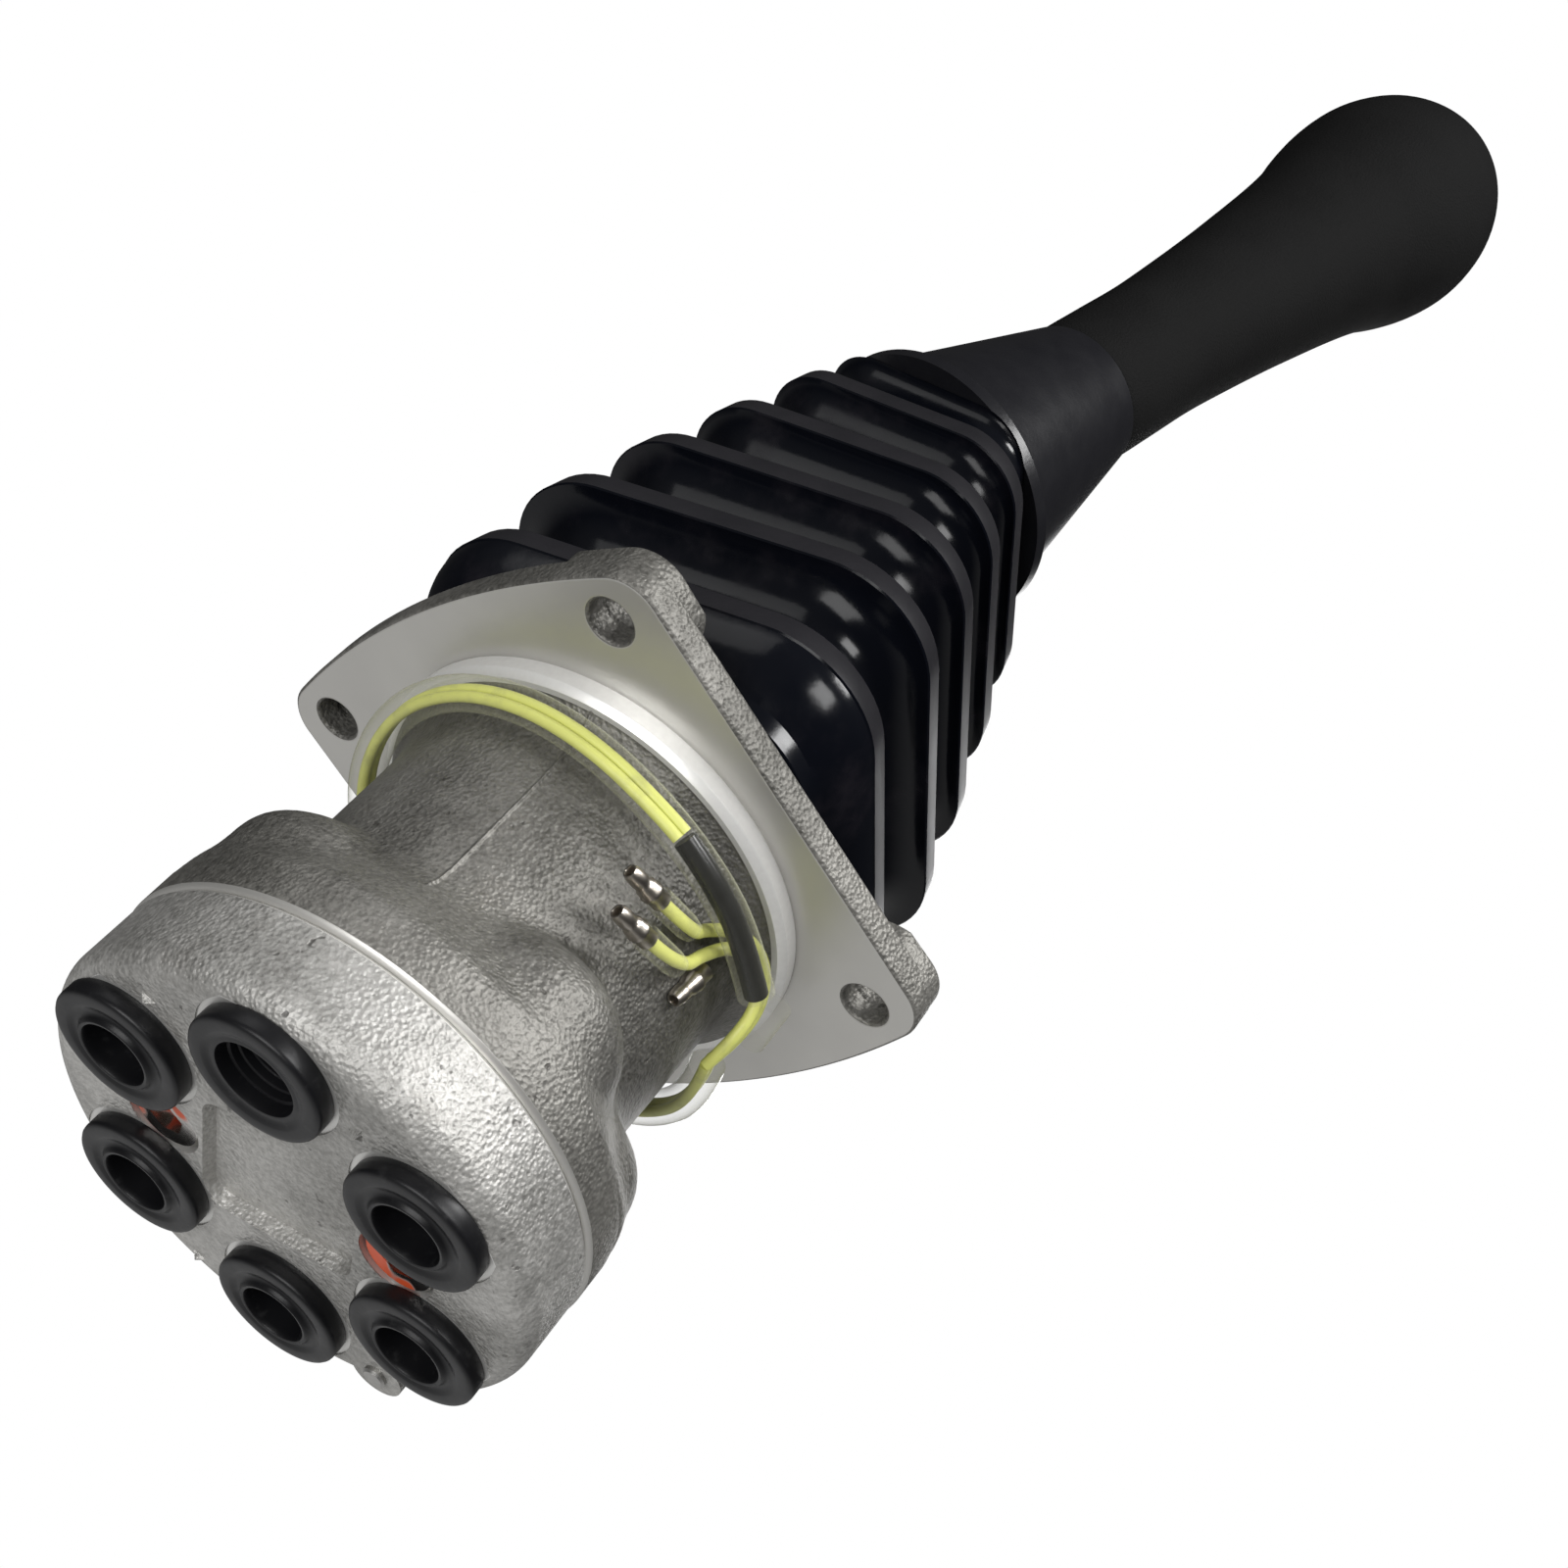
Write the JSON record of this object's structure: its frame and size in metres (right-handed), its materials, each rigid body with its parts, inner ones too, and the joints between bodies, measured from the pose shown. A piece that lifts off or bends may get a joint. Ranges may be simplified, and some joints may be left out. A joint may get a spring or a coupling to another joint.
{
  "type": "hydraulic pilot joystick valve",
  "caption": "Hydraulic pilot joystick valve: round port block and cast barrel under a square mounting plate, with a bellows boot, a bent handle and a foam grip",
  "frame": {"origin": "centre of the mounting plate's underside, on the valve's axis", "axes": "+Z from the ports towards the grip, along the valve's axis; X and Y across the mounting plate, Y square to its two straight sides"},
  "size_m": [0.1136, 0.1108, 0.4469],
  "materials": {
    "cast_iron": "cast, shot-blasted",
    "steel": "machined",
    "spring_steel": "drawn wire",
    "rubber": "smooth moulded",
    "black_plastic": "satin",
    "foam": "closed-cell foam",
    "clear_vinyl": "clear, yellowed",
    "wire_yellow": "insulation",
    "cable_black": "jacket",
    "tinned_brass": "tinned"
  },
  "bodies": {
    "valve_body": {"casing": "cast_iron", "port_plate": "cast_iron", "port_seals": "rubber", "lug_pin": "steel", "port_plate_screws": "steel", "port_plugs": "black_plastic", "open_plug": "black_plastic", "rod_guides": "steel", "guide_rings": "rubber", "wiper_seals": "rubber", "retaining_plate": "steel", "joint_base": "steel", "boot": "rubber", "harness_sleeve": "clear_vinyl", "harness_cable": "cable_black", "harness_wires": "wire_yellow", "bullet_connectors": "tinned_brass", "connector_sleeves": "clear_vinyl", "outlet_sleeve": "clear_vinyl", "return_spring_px": "spring_steel", "return_spring_py": "spring_steel", "return_spring_nx": "spring_steel", "return_spring_ny": "spring_steel", "metering_spring_px": "spring_steel", "metering_spring_py": "spring_steel", "metering_spring_nx": "spring_steel", "metering_spring_ny": "spring_steel"},
    "cross": {"joint_cross": "steel"},
    "lever": {"joint_yoke": "steel", "swash_plate": "steel", "adjusting_nut": "steel", "lock_nut": "steel", "handle_bar": "steel", "boot_neck": "black_plastic", "grip_core": "black_plastic", "grip_foam": "foam", "switch_body": "black_plastic", "switch_spring": "spring_steel"},
    "horn_button": {"horn_button": "black_plastic"},
    "rod_px": {"push_rod_px": "steel", "spring_seat_px": "steel"},
    "spool_px": {"spool_px": "steel"},
    "rod_py": {"push_rod_py": "steel", "spring_seat_py": "steel"},
    "spool_py": {"spool_py": "steel"},
    "rod_nx": {"push_rod_nx": "steel", "spring_seat_nx": "steel"},
    "spool_nx": {"spool_nx": "steel"},
    "rod_ny": {"push_rod_ny": "steel", "spring_seat_ny": "steel"},
    "spool_ny": {"spool_ny": "steel"}
  },
  "joints": [
    {"name": "tilt_x", "type": "hinge", "parent": "valve_body", "child": "cross", "pos_m": [0, 0, 0.021], "axis": [1, 0, 0], "range_deg": [-16, 16], "stiffness_Nm_per_rad": 9, "springref_deg": -0.63},
    {"name": "tilt_y", "type": "hinge", "parent": "cross", "child": "lever", "pos_m": [0, 0, 0.021], "axis": [0, 1, 0], "range_deg": [-16, 16], "stiffness_Nm_per_rad": 9, "springref_deg": -0.7, "deforming": ["boot"]},
    {"name": "button_press", "type": "slide", "parent": "lever", "child": "horn_button", "axis": [-0.1558, 0.1403, -0.9778], "range_m": [0, 0.002], "stiffness_N_per_m": 900, "springref_m": -0.002, "deforming": ["switch_spring"]},
    {"name": "rod_slide_px", "type": "slide", "parent": "valve_body", "child": "rod_px", "axis": [0, 0, 1], "range_m": [-0.0068, 0.0068], "deforming": ["return_spring_px", "metering_spring_px"]},
    {"name": "spool_slide_px", "type": "slide", "parent": "valve_body", "child": "spool_px", "axis": [0, 0, 1], "range_m": [-0.0014, 0.0014]},
    {"name": "rod_slide_py", "type": "slide", "parent": "valve_body", "child": "rod_py", "axis": [0, 0, 1], "range_m": [-0.0068, 0.0068], "deforming": ["return_spring_py", "metering_spring_py"]},
    {"name": "spool_slide_py", "type": "slide", "parent": "valve_body", "child": "spool_py", "axis": [0, 0, 1], "range_m": [-0.0014, 0.0014]},
    {"name": "rod_slide_nx", "type": "slide", "parent": "valve_body", "child": "rod_nx", "axis": [0, 0, 1], "range_m": [-0.0068, 0.0068], "deforming": ["return_spring_nx", "metering_spring_nx"]},
    {"name": "spool_slide_nx", "type": "slide", "parent": "valve_body", "child": "spool_nx", "axis": [0, 0, 1], "range_m": [-0.0014, 0.0014]},
    {"name": "rod_slide_ny", "type": "slide", "parent": "valve_body", "child": "rod_ny", "axis": [0, 0, 1], "range_m": [-0.0068, 0.0068], "deforming": ["return_spring_ny", "metering_spring_ny"]},
    {"name": "spool_slide_ny", "type": "slide", "parent": "valve_body", "child": "spool_ny", "axis": [0, 0, 1], "range_m": [-0.0014, 0.0014]}
  ],
  "couplings": [
    {"joint": "rod_slide_px", "follows": "tilt_y", "m_per_rad": -0.0243},
    {"joint": "spool_slide_px", "follows": "tilt_y", "m_per_rad": -0.00486},
    {"joint": "rod_slide_py", "follows": "tilt_x", "m_per_rad": 0.0243},
    {"joint": "spool_slide_py", "follows": "tilt_x", "m_per_rad": 0.00486},
    {"joint": "rod_slide_nx", "follows": "tilt_y", "m_per_rad": 0.0243},
    {"joint": "spool_slide_nx", "follows": "tilt_y", "m_per_rad": 0.00486},
    {"joint": "rod_slide_ny", "follows": "tilt_x", "m_per_rad": -0.0243},
    {"joint": "spool_slide_ny", "follows": "tilt_x", "m_per_rad": -0.00486}
  ]
}
